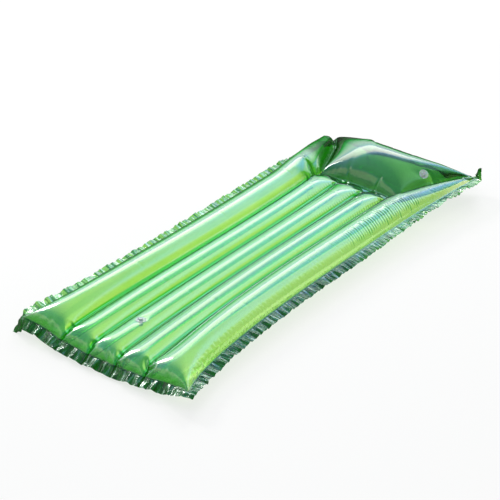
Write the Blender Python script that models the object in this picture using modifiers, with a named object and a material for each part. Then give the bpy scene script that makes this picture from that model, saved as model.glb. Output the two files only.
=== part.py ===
"""Inflatable pool lounger: five lengthwise air tubes, a built-in head pillow,
a weld flange all round and two push-in oral valves. Metres, +Z up, +Y towards
the head, +X to the right of a person lying on it. The origin is on the floor
under the middle of the mat.

The films are laid out flat first: "across" is the flat distance from the centre
line and "along" the flat length towards the head. film_point() maps such a flat
point to its place on the inflated mat."""
import bpy
import bmesh
import math
from collections import namedtuple
from mathutils import Matrix, Vector

Web = namedtuple("Web", "flat middle end pillow_share")
Valve = namedtuple("Valve", "name at normal spin")

# ------------------------------------------------------------ flat pattern
FILM_T = 0.00025          # PVC film thickness
GAP = 0.0003              # clearance between neighbouring pieces
FLANGE = 0.040            # free width of the weld flange
HALF_FLAT = 0.36          # centre line to perimeter weld
BAND = 0.004              # half width of a web's weld band
FOOT = 0.020              # along: foot weld
PILLOW_START = 1.50       # along: weld at the foot side of the pillow
HEAD = 1.82               # along: head weld
WEB_START, WEB_END = 0.05, 1.44     # along: the ends of the webs
WEB_LIP = BAND - 0.0006   # width of a web's own weld flanges
Y_SHIFT = -0.9275         # from the pattern's zero to the origin
TOL = 1e-9                # tolerance when comparing flat positions

# --------------------------------------------------------------- inflated
# Webs: flat distance from the centre line, inflated distance at mid length and
# at the foot, and how much of the pillow's widening they follow.
INNER_WEB = Web(flat=0.06, middle=0.050, end=0.058, pillow_share=0.30)
OUTER_WEB = Web(flat=0.18, middle=0.149, end=0.172, pillow_share=1.0)
WIDTH_MIDDLE, WIDTH_FOOT, WIDTH_HEAD = 0.279, 0.347, 0.314   # half width at the weld
WEB_HALF_H = 0.024        # half height of a web
TUBE_HALF_H = 0.0525      # half height of the three inner tubes
SIDE_HALF_H = 0.064       # half height of the outer tubes
TUBE_ARC = 0.945          # half angle of an inner tube's arc
SIDE_ARC = 2.757          # angle of an outer tube's arc
PILLOW_ARC = 1.42         # half angle of the pillow's arch
PILLOW_R = 0.1127         # radius of the pillow's arch
PILLOW_SIDE_X = 0.290     # pillow side weld at the head end
FLOOR_PRESS = 1.14        # how far the underside is pressed flat by the floor

# ----------------------------------------------------------------- valves
# Places are on the upper film, with y measured along the pattern; spin in degrees.
BODY_VALVE = Valve("body_valve", at=(0.0, 0.231, 0.0895), normal=(0.0, 0.0, 1.0), spin=0.0)
PILLOW_VALVE = Valve("pillow_valve", at=(0.186, 1.644, 0.1150),
                     normal=(0.57, -0.30, 0.765), spin=90.0)
VALVES = (BODY_VALVE, PILLOW_VALVE)
PAD = 0.023               # half side of the flat pad under a valve

# Heights are from the film along the valve's axis: top is out, depth is in.
HOLE_R, HOLE_REACH = 0.0080, 0.006              # hole in the film
BASE_R, BASE_T = 0.0180, 0.0008                 # welded disc
BASE_BEVEL = 0.0004
COLLAR_FILLET = 0.0006                          # radial; its height is BASE_BEVEL
COLLAR_OUTER_R, COLLAR_INNER_R = 0.0074, 0.0062
COLLAR_TOP, COLLAR_DEPTH = 0.0030, 0.0080
STEM_OUTER_R, STEM_INNER_R = 0.0059, 0.0046
STEM_TOP, STEM_DEPTH = 0.0046, 0.0200
STEM_BEVEL_R, STEM_BEVEL_H = 0.0003, 0.0004
LIP_R, LIP_T = 0.0072, 0.0012                   # lip at the stem's inner end
SEAT_R, SEAT_Z, SEAT_T = 0.0034, -0.0162, 0.0006    # ring the check flap closes on
CAP_R, CAP_T, CAP_BEVEL = 0.0062, 0.0014, 0.0004
STUD_R, STUD_L = 0.0030, 0.0040
STUD_BEVEL_R, STUD_BEVEL_H = 0.0005, 0.0006
HINGE_X = -0.0129
HINGE_SETBACK = 0.0003                          # hinge line to tongue and arm
STRAP_T, STRAP_W = 0.0010, 0.0050
TONGUE_L = 0.0058
ARM_T, ARM_W = 0.0009, STRAP_W - 0.0006
ARM_END_R = 0.0052                              # where the arm ends inside the cap
FLAP_R, FLAP_T = 0.0037, 0.0005
FLAP_PIVOT_INSET = 0.0002                       # pivot in from the flap's rim
ROUND_STEPS = 28                                # steps round base, stem and strap
PLUG_STEPS = 24
HOLE_SEGMENTS = 32
FLAP_SEGMENTS = 24

# Mesh rows of the films, along the pattern from foot flange to head flange.
ROWS = [
    FOOT - FLANGE, FOOT, 0.032, 0.05, 0.075, 0.105, 0.15, 0.19,
    *(BODY_VALVE.at[1] + k * PAD for k in (-1, 0, 1)),
    0.29, 0.40, 0.56, 0.76, 0.98, 1.18, 1.31, 1.38, 1.415, WEB_END, 1.468,
    PILLOW_START - BAND, PILLOW_START + BAND,
    1.525, 1.555, 1.59, 1.625, 1.655, 1.685, 1.72, 1.755, 1.785, 1.805,
    HEAD, HEAD + FLANGE,
]

# ------------------------------------------------------------ fresh scene
for old_object in list(bpy.data.objects):
    bpy.data.objects.remove(old_object, do_unlink=True)
for old_mesh in list(bpy.data.meshes):
    if old_mesh.users == 0:
        bpy.data.meshes.remove(old_mesh)

parts = bpy.data.collections.new("pool_lounger")
cutters = bpy.data.collections.new("cutters")
for collection in (parts, cutters):
    bpy.context.scene.collection.children.link(collection)


def material(name, color, roughness, alpha):
    mat = bpy.data.materials.new(name)
    mat.use_nodes = True
    shader = mat.node_tree.nodes["Principled BSDF"]
    shader.inputs["Base Color"].default_value = (*color, 1.0)
    shader.inputs["Roughness"].default_value = roughness
    shader.inputs["Alpha"].default_value = alpha
    mat.diffuse_color = (*color, alpha)
    return mat


MAT_UPPER = material("film_green_upper", color=(0.16, 0.66, 0.24), roughness=0.10, alpha=0.60)
MAT_LOWER = material("film_green_lower", color=(0.08, 0.50, 0.16), roughness=0.14, alpha=0.75)
MAT_WEB = material("web_green", color=(0.10, 0.72, 0.08), roughness=0.25, alpha=0.70)
MAT_CLEAR = material("valve_clear", color=(0.82, 0.90, 0.90), roughness=0.15, alpha=0.60)
MAT_FLAP = material("flap_clear", color=(0.74, 0.84, 0.84), roughness=0.30, alpha=0.70)


# ----------------------------------------------------------------- curves
def clamp(t):
    return min(1.0, max(0.0, t))


def blend(start, end, t):
    return start + (end - start) * t


def smooth(t):
    """S-curve from 0 to 1."""
    t = clamp(t)
    return t * t * (3.0 - 2.0 * t)


def dome(t):
    """Quarter circle from 0, steep, to 1, level."""
    return math.sqrt(1.0 - (1.0 - clamp(t)) ** 2)


def ease_out(t):
    """Parabola from 0, steep, to 1, level."""
    t = clamp(t)
    return t * (2 - t)


def decay(distance, length):
    return math.exp(-max(distance, 0.0) / length)


# ------------------------------------------------ shape of the inflated mat
FOOT_SPREAD_L = 0.19      # decay length of the widening at the foot
HEAD_SPREAD_L = 0.22      # and at the head
WEB_SPREAD_START, WEB_SPREAD_L = 1.28, 0.20     # webs spreading towards the pillow
WEB_SPREAD_LOSS = 0.003   # how much less they spread there than at the foot
WEB_RISE_L, WEB_FALL_L = 0.08, 0.07     # lengths over which the height builds
TUBE_RISE_L, TUBE_FALL_L = 0.22, 0.13   # up from the foot (rise) and dies
SIDE_RISE_L, SIDE_FALL_L = 0.40, 0.42   # away towards the head (fall)
SIDE_FALL_POWER = 0.75
TUBE_FOOT_SIZE = 0.84     # inner tubes' relative height near the foot
TUBE_GROW_START, TUBE_GROW_L = 0.10, 0.6
TUBE_OVER_WEB = 1.02      # least height of a tube, relative to the web
FOOT_DRAW, FOOT_DRAW_L = 0.015, 0.03    # foot edge drawn towards the head
CORNER_DRAW, CORNER_DRAW_L = 0.014, 0.30    # extra draw at the sides
PILLOW_PULL_AT_WEB = 0.25   # share of the arch's shortening felt at the outer web
PILLOW_SWELL_POWER = 0.55   # fullness of the pillow across its width

# Height of the plane between the films: start value, then S-shaped rises given
# as (along where it starts, length, rise).
MID_Z_INNER = 0.035
INNER_RISES = ((0.0, 0.16, 0.010), (0.16, 0.7, 0.0095), (1.0, 0.45, 0.0105),
               (1.70, 0.12, 0.018))
MID_Z_OUTER = 0.053
OUTER_RISES = ((0.16, 0.5, 0.011), (1.2, 0.6, 0.009))


def half_width(along):
    foot = (WIDTH_FOOT - WIDTH_MIDDLE) * decay(along - FOOT, FOOT_SPREAD_L)
    head = (WIDTH_HEAD - WIDTH_MIDDLE) * decay(HEAD - along, HEAD_SPREAD_L)
    return WIDTH_MIDDLE + foot + head


def web_x(along, web):
    """Inflated distance of a web's line from the centre, carried on beside the pillow."""
    spread = web.end - web.middle
    foot = spread * decay(along - FOOT, FOOT_SPREAD_L)
    head = (spread - WEB_SPREAD_LOSS) * smooth((along - WEB_SPREAD_START) / WEB_SPREAD_L)
    pillow = clamp((along - PILLOW_START) / (HEAD - PILLOW_START))
    widening = (PILLOW_SIDE_X - OUTER_WEB.end) * pillow * web.pillow_share
    return web.middle + foot + head + widening


def web_half(along):
    return WEB_HALF_H * ease_out(min((along - FOOT) / WEB_RISE_L,
                                     (PILLOW_START - BAND - along) / WEB_FALL_L))


def tube_half(along):
    size = blend(TUBE_FOOT_SIZE, 1.0, smooth((along - TUBE_GROW_START) / TUBE_GROW_L))
    foot = dome((along - FOOT) / TUBE_RISE_L)
    head = ease_out((PILLOW_START - BAND - along) / TUBE_FALL_L)
    return max(TUBE_HALF_H * size * foot * head, web_half(along) * TUBE_OVER_WEB)


def side_half(along):
    foot = dome((along - FOOT) / SIDE_RISE_L)
    head = clamp((HEAD - along) / SIDE_FALL_L) ** SIDE_FALL_POWER
    return SIDE_HALF_H * foot * head


def mid_height(along, across):
    def climb(base, rises):
        return base + sum(rise * smooth((along - start) / length)
                          for start, length, rise in rises)

    outward = (across - INNER_WEB.flat) / (HALF_FLAT - INNER_WEB.flat)
    return blend(climb(MID_Z_INNER, INNER_RISES), climb(MID_Z_OUTER, OUTER_RISES),
                 smooth(outward))


def seam_y(along, across):
    """Lengthwise place at mid height, before the pillow pulls on it."""
    corner = (across / HALF_FLAT) ** 2 * decay(along, CORNER_DRAW_L)
    return along + FOOT_DRAW * decay(along - FOOT, FOOT_DRAW_L) + CORNER_DRAW * corner


def pillow_angle(along):
    start = PILLOW_START + BAND
    return PILLOW_ARC * (2 * clamp((along - start) / (HEAD - start)) - 1)


def pillow_y(along):
    """Lengthwise place of the pillow's film on the centre line."""
    start = PILLOW_START + BAND
    if along <= start:
        return along
    arch = PILLOW_R * (math.sin(pillow_angle(along)) + math.sin(PILLOW_ARC))
    return start + arch + max(0.0, along - HEAD)


def in_pillow(along):
    return along >= PILLOW_START - BAND - TOL


# Each section below returns x, y and the lift off the mid height.
def outer_tube(across, along):
    flat_start = OUTER_WEB.flat + BAND
    t = (across - flat_start) / (HALF_FLAT - flat_start)
    height = side_half(along)
    angle = SIDE_ARC * (1.0 - t)
    arc = (math.cos(angle) - math.cos(SIDE_ARC)) / (1.0 - math.cos(SIDE_ARC))
    x = blend(web_x(along, OUTER_WEB) + BAND, half_width(along),
              blend(t, arc, height / SIDE_HALF_H))
    near_web = (1 - t) ** 2
    web_lift = 0.0 if in_pillow(along) else web_half(along)
    lift = height * math.sin(angle) + (web_lift - height * math.sin(SIDE_ARC)) * near_web
    y = blend(seam_y(along, across), pillow_y(along), PILLOW_PULL_AT_WEB * near_web)
    return x, y, lift


def pillow_section(across, along):
    """The pillow and the weld bands beside it."""
    edge = OUTER_WEB.flat - BAND
    fraction = across / (OUTER_WEB.flat + BAND)
    side_x = web_x(along, OUTER_WEB)
    if across < edge - TOL:
        x = fraction * (side_x + BAND)
        swell = (1.0 - (across / edge) ** 2) ** PILLOW_SWELL_POWER
    else:
        x = side_x + across - OUTER_WEB.flat
        swell = 0.0
    pull = blend(PILLOW_PULL_AT_WEB, 1.0, 1.0 - fraction ** 2)
    y = blend(seam_y(along, across), pillow_y(along), pull)
    lift = PILLOW_R * (math.cos(pillow_angle(along)) - math.cos(PILLOW_ARC)) * swell
    return x, y, lift


def inner_tube(across, along):
    """The three inner tubes and the web bands."""
    y = seam_y(along, across)
    web_lift = web_half(along)
    for web in (INNER_WEB, OUTER_WEB):
        if abs(across - web.flat) <= BAND + TOL:
            return web_x(along, web) + across - web.flat, y, web_lift
    inner_x = web_x(along, INNER_WEB)
    if across < INNER_WEB.flat:
        flat_end, x_end = INNER_WEB.flat - BAND, inner_x - BAND
        flat_start, x_start = -flat_end, -x_end
    else:
        flat_start, x_start = INNER_WEB.flat + BAND, inner_x + BAND
        flat_end, x_end = OUTER_WEB.flat - BAND, web_x(along, OUTER_WEB) - BAND
    t = (across - flat_start) / (flat_end - flat_start)
    height = tube_half(along)
    angle = TUBE_ARC * (2 * t - 1)
    arc = 0.5 + math.sin(angle) / (2 * math.sin(TUBE_ARC))
    x = blend(x_start, x_end, blend(t, arc, min(1.0, height / TUBE_HALF_H)))
    bulge = (math.cos(angle) - math.cos(TUBE_ARC)) / (1 - math.cos(TUBE_ARC))
    return x, y, blend(web_lift, height, bulge)


def film_point(signed_across, along, upper):
    """Outer surface of the inflated film over a flat point."""
    across = abs(signed_across)
    if across >= HALF_FLAT - TOL:
        x = half_width(along) + across - HALF_FLAT
        y, lift = seam_y(along, across), 0.0
    elif across > OUTER_WEB.flat + BAND + TOL:
        x, y, lift = outer_tube(across, along)
    elif in_pillow(along):
        x, y, lift = pillow_section(across, along)
    else:
        x, y, lift = inner_tube(across, along)
    if along <= FOOT + TOL or along >= HEAD - TOL:
        lift = 0.0
    middle = mid_height(along, across)
    seam = FILM_T + GAP / 2.0
    if upper:
        z = middle + seam + lift
    else:
        z = max(0.0, middle - seam - lift * FLOOR_PRESS)
    return Vector((math.copysign(x, signed_across), y + Y_SHIFT, z))


# ----------------------------------------------------------- mesh helpers
def add_object(name, bm, collection):
    mesh = bpy.data.meshes.new(name)
    bm.to_mesh(mesh)
    bm.free()
    ob = bpy.data.objects.new(name, mesh)
    collection.objects.link(ob)
    return ob


def grid_mesh(column_count, row_count):
    """A grid and its vertices as rows[row][column], rising in y and x."""
    bm = bmesh.new()
    bmesh.ops.create_grid(bm, x_segments=column_count - 1, y_segments=row_count - 1, size=1.0)
    verts = sorted(bm.verts, key=lambda v: (round(v.co.y, 5), round(v.co.x, 5)))
    return bm, [verts[j * column_count:(j + 1) * column_count] for j in range(row_count)]


def thicken(ob, offset):
    solidify = ob.modifiers.new("thickness", "SOLIDIFY")
    solidify.thickness = FILM_T
    solidify.offset = offset


def hinge_bar(name, length, width, thickness, bottom):
    """Flat bar running from beside the hinge line towards the valve's axis."""
    bm = bmesh.new()
    bmesh.ops.create_cube(bm, size=1.0)
    bmesh.ops.scale(bm, vec=(length, width, thickness), verts=bm.verts[:])
    centre = (HINGE_X + HINGE_SETBACK + length / 2, 0, bottom + thickness / 2)
    bmesh.ops.translate(bm, vec=centre, verts=bm.verts[:])
    return add_object(name, bm, cutters)


def cylinder(name, radius, bottom, top, collection, segments):
    bm = bmesh.new()
    bmesh.ops.create_cone(bm, cap_ends=True, cap_tris=False, segments=segments,
                          radius1=radius, radius2=radius, depth=top - bottom)
    bmesh.ops.translate(bm, vec=(0, 0, (bottom + top) / 2), verts=bm.verts[:])
    return add_object(name, bm, collection)


def turned(name, profile, closed=True, steps=ROUND_STEPS):
    """Clear part: profile (r, z) listed down the outer side, turned about local Z."""
    bm = bmesh.new()
    verts = [bm.verts.new((r, 0.0, z)) for r, z in profile]
    for start, end in zip(verts, verts[1:]):
        bm.edges.new((start, end))
    if closed:
        bm.edges.new((verts[-1], verts[0]))
    ob = add_object(name, bm, parts)
    screw = ob.modifiers.new("turn", "SCREW")
    screw.axis = "Z"
    screw.angle = 2 * math.pi
    screw.steps = steps
    screw.render_steps = steps
    screw.use_merge_vertices = True
    screw.merge_threshold = 0.00001
    ob.data.materials.append(MAT_CLEAR)
    return ob


def boolean(ob, cutter, operation):
    cutter.hide_render = True
    cutter.display_type = "WIRE"
    modifier = ob.modifiers.new(cutter.name, "BOOLEAN")
    modifier.operation = operation
    modifier.solver = "EXACT"
    modifier.object = cutter


def place(ob, parent, location=(0, 0, 0)):
    ob.parent = parent
    ob.location = location


def empty(name):
    ob = bpy.data.objects.new(name, None)
    ob.empty_display_size = 0.01
    parts.objects.link(ob)
    return ob


# --------------------------------------------------------- films and webs
def film_columns():
    """Flat positions of the film's mesh columns, symmetric about the middle."""
    half = []
    for start, end, count in (
            (0.0, INNER_WEB.flat - BAND, 3),
            (INNER_WEB.flat + BAND, OUTER_WEB.flat - BAND, 6),
            (OUTER_WEB.flat + BAND, HALF_FLAT, 7)):
        half += [start + (end - start) * k / count for k in range(count + 1)]
    half.append(HALF_FLAT + FLANGE)
    return [-across for across in reversed(half[1:])] + half


def valve_axes(spec):
    """Centre on the film and x, y, z directions, z pointing out, before the spin."""
    z = Vector(spec.normal).normalized()
    x = Vector((1, 0, 0))
    x = (x - z * x.dot(z)).normalized()
    return Vector(spec.at) + Vector((0, Y_SHIFT, 0)), x, z.cross(x), z


def flatten_pad(grid, spec):
    """Make a flat square pad in the film for a valve's welded disc."""
    centre, x, y, _ = valve_axes(spec)
    _, row, column = min(((vert.co - centre).length, j, i)
                         for j, verts in enumerate(grid) for i, vert in enumerate(verts))
    for j in (-1, 0, 1):
        for i in (-1, 0, 1):
            grid[row + j][column + i].co = centre + x * (i * PAD) + y * (j * PAD)


def film(name, upper, mat):
    columns = film_columns()
    bm, grid = grid_mesh(len(columns), len(ROWS))
    for along, verts in zip(ROWS, grid):
        for across, vert in zip(columns, verts):
            vert.co = film_point(across, along, upper)
    if upper:
        for spec in VALVES:
            flatten_pad(grid, spec)
    # Normals face out of the mat, so the film thickens inwards.
    bm.normal_update()
    upward_area = sum(face.normal.z * face.calc_area() for face in bm.faces)
    if (upward_area > 0) != upper:
        bmesh.ops.reverse_faces(bm, faces=bm.faces[:])
    bmesh.ops.triangulate(bm, faces=bm.faces[:])
    ob = add_object(name, bm, parts)
    thicken(ob, offset=-1.0)
    ob.data.materials.append(mat)
    return ob


def build_web(name, web, side):
    """C-section strip between the films: a wall with two weld flanges."""
    rows = [along for along in ROWS if WEB_START - TOL <= along <= WEB_END + TOL]
    bm, grid = grid_mesh(4, len(rows))
    inset = FILM_T + GAP + FILM_T / 2
    for along, verts in zip(rows, grid):
        x = web_x(along, web)
        y = seam_y(along, web.flat) + Y_SHIFT
        top = film_point(web.flat, along, True).z - inset
        bottom = film_point(web.flat, along, False).z + inset
        section = ((WEB_LIP, top), (0.0, top), (0.0, bottom), (WEB_LIP, bottom))
        for vert, (lip, z) in zip(verts, section):
            vert.co = Vector((side * (x + lip), y, z))
    ob = add_object(name, bm, parts)
    thicken(ob, offset=0.0)
    ob.data.materials.append(MAT_WEB)


# ----------------------------------------------------------------- valves
def valve_axis(spec):
    """Empty on the film with Z along the bore, pointing out."""
    centre, x, y, z = valve_axes(spec)
    matrix = Matrix((x, y, z)).transposed().to_4x4()
    matrix = matrix @ Matrix.Rotation(math.radians(spec.spin), 4, "Z")
    matrix.translation = centre
    axis = empty(spec.name + "_axis")
    axis.matrix_local = matrix
    return axis


def valve_hole(name, axis, film_ob):
    hole = cylinder(name + "_hole", HOLE_R, -HOLE_REACH, HOLE_REACH, cutters, HOLE_SEGMENTS)
    place(hole, axis)
    boolean(film_ob, hole, "DIFFERENCE")


def valve_base(name, axis):
    """Welded disc with the collar through it."""
    bottom = GAP
    top = bottom + BASE_T
    base = turned(name + "_base", [
        (COLLAR_OUTER_R, COLLAR_TOP),
        (COLLAR_OUTER_R, top + BASE_BEVEL), (COLLAR_OUTER_R + COLLAR_FILLET, top),
        (BASE_R - 0.0005, top), (BASE_R, top - BASE_BEVEL), (BASE_R, bottom),
        (COLLAR_OUTER_R, bottom), (COLLAR_OUTER_R, -COLLAR_DEPTH),
        (COLLAR_INNER_R, -COLLAR_DEPTH), (COLLAR_INNER_R, COLLAR_TOP)])
    place(base, axis)


def valve_stem(name, axis):
    """Tube with a lip and the flap's seat ring near its inner end."""
    lip_top = -STEM_DEPTH + LIP_T
    seat_bottom = SEAT_Z - SEAT_T
    stem = turned(name + "_stem", [
        (STEM_OUTER_R - STEM_BEVEL_R, STEM_TOP), (STEM_OUTER_R, STEM_TOP - STEM_BEVEL_H),
        (STEM_OUTER_R, lip_top), (LIP_R, lip_top), (LIP_R, -STEM_DEPTH),
        (STEM_INNER_R, -STEM_DEPTH), (STEM_INNER_R, seat_bottom), (SEAT_R, seat_bottom),
        (SEAT_R, SEAT_Z), (STEM_INNER_R, SEAT_Z), (STEM_INNER_R, STEM_TOP)])
    place(stem, axis)


def valve_strap(name, axis):
    """Ring round the stem with a tongue out to the plug's hinge."""
    bottom = COLLAR_TOP + GAP
    top = bottom + STRAP_T
    inner_r = STEM_OUTER_R + GAP
    strap = turned(name + "_strap", [
        (COLLAR_OUTER_R, top), (COLLAR_OUTER_R, bottom), (inner_r, bottom), (inner_r, top)])
    tongue = hinge_bar(name + "_tongue", TONGUE_L, STRAP_W, STRAP_T, bottom)
    boolean(strap, tongue, "UNION")
    place(tongue, axis)
    place(strap, axis)


def valve_plug(name, axis):
    """Cap with a stud and an arm, modelled on the bore's axis, hung on its hinge."""
    pivot = Vector((HINGE_X, 0, STEM_TOP))
    hinge = empty(name + "_plug_hinge")
    place(hinge, axis, pivot)
    bottom = STEM_TOP + GAP
    top = bottom + CAP_T
    stud_end = bottom - STUD_L
    plug = turned(name + "_plug", [
        (0.0, top), (CAP_R - CAP_BEVEL, top), (CAP_R, top - CAP_BEVEL), (CAP_R, bottom),
        (STUD_R, bottom), (STUD_R, stud_end + STUD_BEVEL_H),
        (STUD_R - STUD_BEVEL_R, stud_end), (0.0, stud_end)], closed=False, steps=PLUG_STEPS)
    arm_length = -HINGE_X - HINGE_SETBACK - ARM_END_R
    arm = hinge_bar(name + "_arm", arm_length, ARM_W, ARM_T, bottom)
    boolean(plug, arm, "UNION")
    place(arm, hinge, -pivot)
    place(plug, hinge, -pivot)


def valve_flap(name, axis):
    """Check flap under the seat ring, pivoting at its rim."""
    top = SEAT_Z - SEAT_T - GAP
    pivot = Vector((-FLAP_R + FLAP_PIVOT_INSET, 0, top - FLAP_T / 2))
    hinge = empty(name + "_flap_hinge")
    place(hinge, axis, pivot)
    flap = cylinder(name + "_flap", FLAP_R, top - FLAP_T, top, parts, FLAP_SEGMENTS)
    flap.data.materials.append(MAT_FLAP)
    place(flap, hinge, -pivot)


# --------------------------------------------------------------- assembly
upper_film = film("upper_film", True, MAT_UPPER)
film("lower_film", False, MAT_LOWER)

# Webs are numbered from left (-X) to right.
WEB_LAYOUT = ((OUTER_WEB, -1), (INNER_WEB, -1), (INNER_WEB, 1), (OUTER_WEB, 1))
for number, (web_line, web_side) in enumerate(WEB_LAYOUT, start=1):
    build_web("web_%d" % number, web_line, web_side)

for valve in VALVES:
    bore = valve_axis(valve)
    valve_hole(valve.name, bore, upper_film)
    for build_piece in (valve_base, valve_stem, valve_strap, valve_plug, valve_flap):
        build_piece(valve.name, bore)
bpy.context.view_layer.update()
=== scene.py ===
"""Clear green PVC pool lounger: four web strips make five tubes, with a pillow at the head.

It lies on z = 0 with X across and Y along: foot at -Y, head at +Y, "left" is -X, "right" is +X.
A small cloth solver inflates the two films from a flat welded pattern; they are then meshed,
cut for the valves and given clear film materials. Metres, except the valve profiles."""

import math
from types import SimpleNamespace

import bmesh
import bpy
import numpy as np
from mathutils import Matrix, Vector


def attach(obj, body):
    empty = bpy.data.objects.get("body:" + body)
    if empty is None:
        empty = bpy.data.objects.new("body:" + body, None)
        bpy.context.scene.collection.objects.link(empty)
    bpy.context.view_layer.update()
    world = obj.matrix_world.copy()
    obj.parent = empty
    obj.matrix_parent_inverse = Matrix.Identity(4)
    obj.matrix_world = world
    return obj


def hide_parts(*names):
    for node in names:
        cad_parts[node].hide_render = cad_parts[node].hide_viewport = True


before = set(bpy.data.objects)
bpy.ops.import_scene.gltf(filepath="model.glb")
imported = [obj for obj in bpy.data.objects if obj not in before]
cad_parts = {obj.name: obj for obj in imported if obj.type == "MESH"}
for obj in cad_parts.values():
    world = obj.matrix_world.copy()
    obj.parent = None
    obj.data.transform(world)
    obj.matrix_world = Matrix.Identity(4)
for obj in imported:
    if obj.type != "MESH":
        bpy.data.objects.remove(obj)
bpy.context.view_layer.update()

# ---------------------------------------------------------------- flat pattern
# "across" runs with X from the centre line, "along" from near the foot to the head
FLANGE_WIDTH = 0.04
FOOT_WELD = 0.02
FOOT_EDGE = FOOT_WELD - FLANGE_WIDTH
HEAD_WELD = 1.82
HEAD_EDGE = HEAD_WELD + FLANGE_WIDTH
PILLOW_WELD = 1.50                 # weld between the tubes and the pillow
SIDE_WELD = 0.36
SIDE_EDGE = 0.40
OUTER_WEB_IN, OUTER_WEB_OUT = 0.176, 0.184
PILLOW_SIDE_HEAD = 0.335           # half width between the pillow's side welds at the head
WEB_START, WEB_END = 0.030, 1.460
WEB_HEIGHT, WEB_TIP_HEIGHT = 0.050, 0.008
WEB_CENTRES = (-0.18, -0.06, 0.06, 0.18)
RIGHT_LINES = [0.056, 0.064, OUTER_WEB_IN, OUTER_WEB_OUT, SIDE_WELD, SIDE_EDGE]
LINES = [-line for line in reversed(RIGHT_LINES)] + RIGHT_LINES
CELLS = [2, 9, 1, 6, 1, 6, 1, 6, 1, 9, 2]      # coarse columns between neighbouring lines
WEB_BANDS = (2, 4, 6, 8)           # the bands between lines that carry a web
COARSE_STEP = 0.02
OBJECT_Y = -0.9275                 # from "along" to the object's Y
WELD_SHRINK = 0.98                 # heat sealing draws the weld line in
EDGE_GROW = 1.015                  # the free edge ruffles
TINY = 1e-6

# pattern: (across, along); at, normal and x: the valve's frame on the inflated film
VALVES = {
    "body_valve": dict(pattern=(0.0, 0.231), at=(0.0, -0.6965, 0.0895),
                       normal=(0.0, 0.0, 1.0), x=(1.0, 0.0, 0.0)),
    "pillow_valve": dict(pattern=(0.1897, 1.6685), at=(0.186, 0.7165, 0.115),
                         normal=(0.569964, -0.299981, 0.764952), x=(0.0, 0.930973, 0.365088)),
}
DISC_HOLD_RADIUS = 0.0195          # film held flat under a valve disc
CUT_RADIUS, HOLE_RADIUS = 0.0102, 0.0082
FILM_OFFSET = 0.00015              # each film off the solved surface
WEB_OFFSET = 0.0005                # web legs inside the films


def smoothstep(start, end, value):
    t = np.clip((value - start) / (end - start), 0, 1)
    return t * t * (3 - 2 * t)


def pattern(level):
    """Grid coordinates, flat x and region masks; each level halves the cells."""
    split = 2 ** level
    line_across, columns = [LINES[0]], [0]
    for a, b, cells in zip(LINES[:-1], LINES[1:], CELLS):
        n = cells * split
        line_across += [a + (b - a) * (k + 1) / n for k in range(n)]
        columns.append(len(line_across) - 1)
    step = COARSE_STEP / split
    line_along = FOOT_EDGE + step * np.arange(int(round((HEAD_EDGE - FOOT_EDGE) / step)) + 1)
    across, along = np.meshgrid(np.array(line_across), line_along)
    away = np.abs(across)

    # beyond the pillow weld the outer web line splays out to the pillow's side welds
    t = np.clip((along - PILLOW_WELD) / (HEAD_WELD - PILLOW_WELD), 0, 1)
    splay = OUTER_WEB_OUT + (PILLOW_SIDE_HEAD - OUTER_WEB_OUT) * t
    outer = np.sign(across) * (splay + (away - OUTER_WEB_OUT) / (SIDE_WELD - OUTER_WEB_OUT)
                               * (SIDE_WELD - splay))
    flat_x = np.where(away <= OUTER_WEB_OUT + 1e-9, across * (splay / OUTER_WEB_OUT),
                      np.where(away <= SIDE_WELD, outer, across))

    weld = (away >= SIDE_WELD - TINY) | (along <= FOOT_WELD + TINY) | (along >= HEAD_WELD - TINY)
    weld |= ((away >= OUTER_WEB_IN - TINY) & (away <= OUTER_WEB_OUT + TINY)
             & (along >= PILLOW_WELD - TINY))
    weld |= (away <= OUTER_WEB_OUT + TINY) & (np.abs(along - PILLOW_WELD) < 0.0051)
    flange = (away > SIDE_WELD + TINY) | (along < FOOT_WELD - TINY) | (along > HEAD_WELD + TINY)
    web = np.zeros_like(weld)
    for band in WEB_BANDS:
        web[:, columns[band]:columns[band + 1] + 1] = True
    web &= (along >= WEB_START - TINY) & (along <= WEB_END + TINY)
    t = np.clip(np.minimum((along - WEB_START) / 0.05, (WEB_END - along) / 0.05), 0, 1)
    height = WEB_TIP_HEIGHT + (WEB_HEIGHT - WEB_TIP_HEIGHT) * (t * (2 - t))
    return SimpleNamespace(across=across, x=flat_x, along=along, columns=columns, step=step,
                           weld=weld, flange=flange, web=web, web_height=height)


# ---------------------------------------------------------------- cloth solver
# "films" is (xyz, upper and lower, rows along, columns across)
def upsample(films):
    fine = np.empty((3, 2, films.shape[2] * 2 - 1, films.shape[3] * 2 - 1))
    fine[:, :, ::2, ::2] = films
    fine[:, :, 1::2, ::2] = 0.5 * (films[:, :, 1:] + films[:, :, :-1])
    fine[:, :, :, 1::2] = 0.5 * (fine[:, :, :, 2::2] + fine[:, :, :, :-2:2])
    return fine


def constrain(start, end, rest, stiffness, push_only=False):
    """Moves point pairs, in place, towards their rest length."""
    move = end - start
    length = np.sqrt(move[0] * move[0] + move[1] * move[1] + move[2] * move[2])
    np.maximum(length, 1e-9, out=length)
    share = (length - rest) / length
    if push_only:
        np.minimum(share, 0, out=share)
    share *= 0.5 * stiffness
    move *= share
    start += move
    end -= move


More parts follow.
